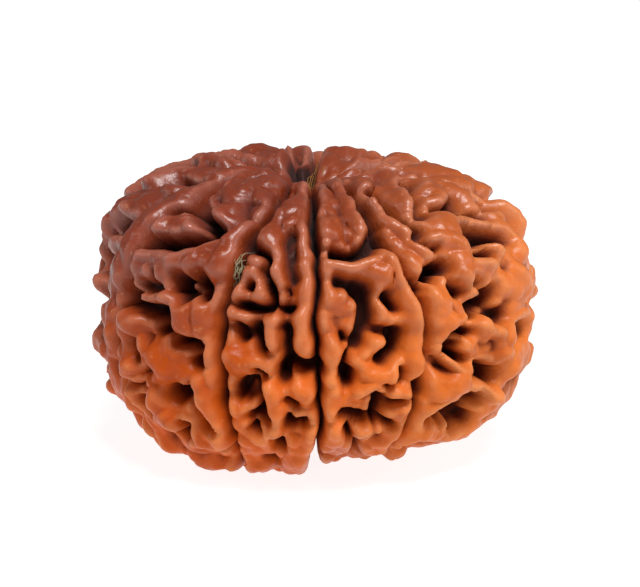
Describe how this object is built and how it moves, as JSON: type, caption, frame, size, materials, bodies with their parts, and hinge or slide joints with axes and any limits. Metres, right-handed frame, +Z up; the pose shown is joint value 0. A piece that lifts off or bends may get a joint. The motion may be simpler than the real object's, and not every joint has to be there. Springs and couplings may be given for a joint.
{
  "type": "rudraksha bead",
  "caption": "Oblate seed bead divided by deep lengthwise lines into knobbly faces, with a narrow natural channel from top to underside; it stands on a worn flat spot.",
  "frame": {"origin": "centre of the bead's box, on the surface that it stands on", "axes": "+X along the greatest width, +Z up along the natural channel, from the worn underside to the sunken top"},
  "size_m": [0.028, 0.0276, 0.0186],
  "materials": {
    "seed_wood": "oiled and handled red-brown fruit stone, satin sheen on the ridges, dark in the pits"
  },
  "bodies": {
    "root": {"bead": "seed_wood"}
  },
  "joints": []
}
